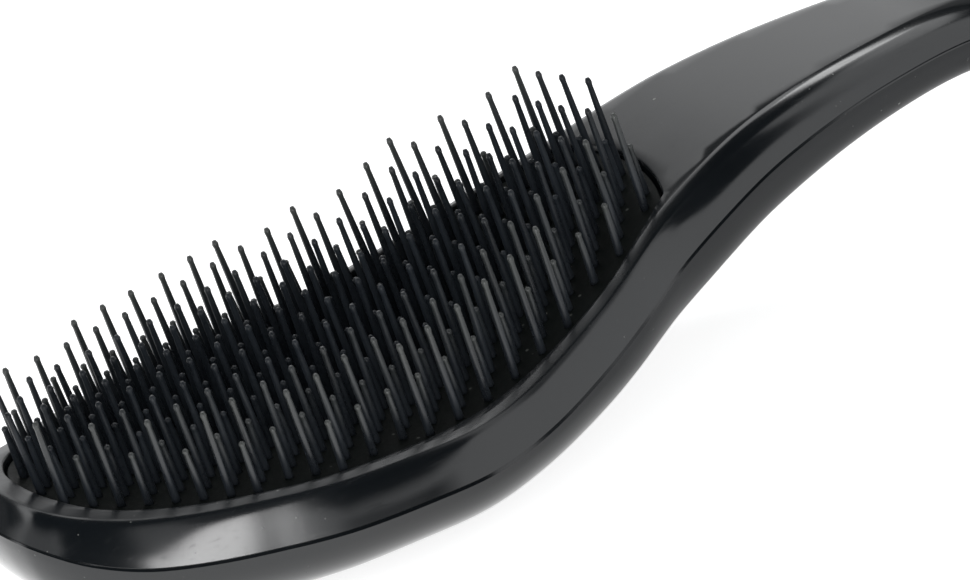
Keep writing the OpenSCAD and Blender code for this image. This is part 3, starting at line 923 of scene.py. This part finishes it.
class BRUSH_OT_studio(bpy.types.Operator):
    """Sets up the floor, the soft light and the camera"""
    bl_idname = "brush.studio"
    bl_label = "Studio"

    def execute(self, context):
        scene = context.scene
        look = scene.brush_studio
        self.floor()
        self.world(scene)
        self.soft_box("Front", look.key)
        self.soft_box("Top", look.top)
        self.camera(scene, look)
        scene.view_settings.view_transform = "Standard"
        return {"FINISHED"}

    def floor(self):
        mesh = bpy.data.meshes.new("floor")
        sides = ((-1, -1), (1, -1), (1, 1), (-1, 1))
        corners = [(x * FLOOR_HALF, y * FLOOR_HALF, FLOOR_Z) for x, y in sides]
        mesh.from_pydata(corners, [], [(0, 1, 2, 3)])
        mat = bpy.data.materials.new("Pale floor")
        n = Nodes(shader_tree(mat))
        add = n.node("ShaderNodeAddShader")
        matt, glow = n.node("ShaderNodeBsdfDiffuse"), n.node("ShaderNodeEmission")
        matt.inputs["Color"].default_value = (FLOOR_TONE, FLOOR_TONE, FLOOR_TONE, 1)
        path = n.node("ShaderNodeLightPath")
        mirrored = n.math("MAXIMUM", path.outputs["Is Glossy Ray"], path.outputs["Is Transmission Ray"])
        parts = n.node("ShaderNodeSeparateXYZ")
        n.link(n.node("ShaderNodeTexCoord").outputs["Object"], parts.inputs[0])
        card = n.span(parts.outputs[0], *FLOOR_CARD)
        seen = n.math("MAXIMUM", path.outputs["Is Camera Ray"], n.math("MULTIPLY", mirrored, card))
        n.link(n.math("MULTIPLY", seen, FLOOR_GLOW), glow.inputs["Strength"])
        n.link(matt.outputs[0], add.inputs[0])
        n.link(glow.outputs[0], add.inputs[1])
        n.link(add.outputs[0], n.node("ShaderNodeOutputMaterial").inputs[0])
        mesh.materials.append(mat)
        obj = bpy.data.objects.new("floor", mesh)
        bpy.context.scene.collection.objects.link(obj)

    def world(self, scene):
        """White for the camera; for the brush a room, by the direction of a reflection."""
        world = bpy.data.worlds.new("Studio")
        scene.world = world
        n = Nodes(shader_tree(world))
        way = n.node("ShaderNodeTexCoord").outputs["Generated"]
        parts = n.node("ShaderNodeSeparateXYZ")
        n.link(way, parts.inputs[0])
        height = parts.outputs[2]
        flat = n.node("ShaderNodeVectorMath", operation="MULTIPLY")
        flat.inputs[1].default_value = (1, 1, 0)
        unit = n.node("ShaderNodeVectorMath", operation="NORMALIZE")
        n.link(way, flat.inputs[0])
        n.link(flat.outputs[0], unit.inputs[0])

        def toward(azimuth):
            made = n.node("ShaderNodeVectorMath", operation="DOT_PRODUCT")
            a = math.radians(azimuth)
            made.inputs[1].default_value = (math.sin(a), math.cos(a), 0)
            n.link(unit.outputs[0], made.inputs[0])
            return made.outputs["Value"]

        # Behind the brush, brighter towards the right
        ramp = n.node("ShaderNodeValToRGB")
        while len(ramp.color_ramp.elements) < len(BEHIND):
            ramp.color_ramp.elements.new(0.5)
        for element, (at, value) in zip(ramp.color_ramp.elements, BEHIND):
            element.position = at
            element.color = (value, value, value, 1)
        n.link(height, ramp.inputs[0])
        right = n.math("MAXIMUM", n.span(toward(20), *BEHIND_SIDE), n.span(height, *BEHIND_LAMP))
        # Beside the camera: a pale wall whose upper edge comes down to the right, with a dark gap
        along = toward(172)
        edge = n.math("ADD", n.span(along, *WALL_TOP_LEFT), n.span(along, *WALL_TOP_RIGHT))
        wall = n.span(n.math("SUBTRACT", height, edge), *WALL)
        gap = n.math("MAXIMUM", n.span(along, *GAP), n.span(height, *GAP_TOP))
        beside = n.math("MULTIPLY", n.math("MULTIPLY", wall, gap), n.span(toward(-110), *WALL_LEFT))
        behind = n.span(toward(25), *BEHIND_START)
        mixed = n.math("ADD", n.math("MULTIPLY", n.math("MULTIPLY", ramp.outputs[0], right), behind),
                       n.math("MULTIPLY", beside, n.math("SUBTRACT", 1.0, behind)))
        mix = n.node("ShaderNodeMixShader")
        back, room = n.node("ShaderNodeBackground"), n.node("ShaderNodeBackground")
        back.inputs["Color"].default_value = (1, 1, 1, 1)
        room.inputs["Color"].default_value = (0.98, 0.99, 1, 1)
        n.link(mixed, room.inputs["Strength"])
        n.link(n.node("ShaderNodeLightPath").outputs["Is Camera Ray"], mix.inputs[0])
        n.link(room.outputs[0], mix.inputs[1])
        n.link(back.outputs[0], mix.inputs[2])
        n.link(mix.outputs[0], n.node("ShaderNodeOutputWorld").inputs[0])

    def soft_box(self, name, power):
        aim, azimuth, elevation, distance, wide, tall = BOXES[name]
        light = bpy.data.lights.new(name, "AREA")
        light.shape = "RECTANGLE"
        light.size = wide
        light.size_y = tall
        light.energy = power
        a, e = math.radians(azimuth), math.radians(elevation)
        way = Vector((math.sin(a) * math.cos(e), math.cos(a) * math.cos(e), math.sin(e)))
        obj = bpy.data.objects.new(name, light)
        obj.location = Vector(aim) * MM + way * distance
        obj.rotation_euler = way.to_track_quat("Z", "Y").to_euler()
        bpy.context.scene.collection.objects.link(obj)

    def camera(self, scene, look):
        a, e = look.azimuth, look.elevation
        back = Vector((math.sin(a) * math.cos(e), -math.cos(a) * math.cos(e), math.sin(e)))
        right = Vector((math.cos(a), math.sin(a), 0))
        up = back.cross(right)
        c, s = math.cos(look.roll), math.sin(look.roll)
        across, above = right * c - up * s, right * s + up * c
        lens = bpy.data.cameras.new("Camera")
        lens.lens = look.lens
        lens.sensor_width = SENSOR
        lens.clip_start, lens.clip_end = CLIP
        obj = bpy.data.objects.new("Camera", lens)
        place = Vector(look.aim) + back * look.distance
        obj.matrix_world = Matrix((
            (across[0], above[0], back[0], place[0]),
            (across[1], above[1], back[1], place[1]),
            (across[2], above[2], back[2], place[2]),
            (0, 0, 0, 1)))
        scene.collection.objects.link(obj)
        scene.camera = obj


class BRUSH_PT_panel(bpy.types.Panel):
    """Lists the brush's pieces and sizes"""
    bl_label = "Detangling brush"
    bl_idname = "BRUSH_PT_panel"
    bl_space_type = "VIEW_3D"
    bl_region_type = "UI"
    bl_category = "Brush"

    def draw(self, context):
        for name, group, operators in SECTIONS:
            box = self.layout.box()
            settings = getattr(context.scene, name)
            for size in group.__annotations__:
                box.prop(settings, size)
            for operator in operators:
                box.operator(operator.bl_idname)


SECTIONS = (
    ("brush_body", BrushBodySizes, (BRUSH_OT_back_shell, BRUSH_OT_front_frame)),
    ("brush_pad", BrushPadSizes, (BRUSH_OT_tooth_pad,)),
    ("brush_teeth", BrushTeethSizes, ()),
    ("brush_finish", BrushFinish, (BRUSH_OT_carrier,)),
    ("brush_studio", BrushStudio, (BRUSH_OT_studio,)))


def register():
    for name, group, operators in SECTIONS:
        bpy.utils.register_class(group)
        setattr(bpy.types.Scene, name, PointerProperty(type=group))
        for operator in operators:
            bpy.utils.register_class(operator)
    bpy.utils.register_class(BRUSH_PT_panel)


def unregister():
    bpy.utils.unregister_class(BRUSH_PT_panel)
    for name, group, operators in reversed(SECTIONS):
        for operator in reversed(operators):
            bpy.utils.unregister_class(operator)
        delattr(bpy.types.Scene, name)
        bpy.utils.unregister_class(group)


def main():
    register()
    bpy.ops.brush.back_shell()
    bpy.ops.brush.front_frame()
    bpy.ops.brush.tooth_pad()
    bpy.ops.brush.carrier()
    bpy.ops.brush.studio()


if __name__ == "__main__":
    main()
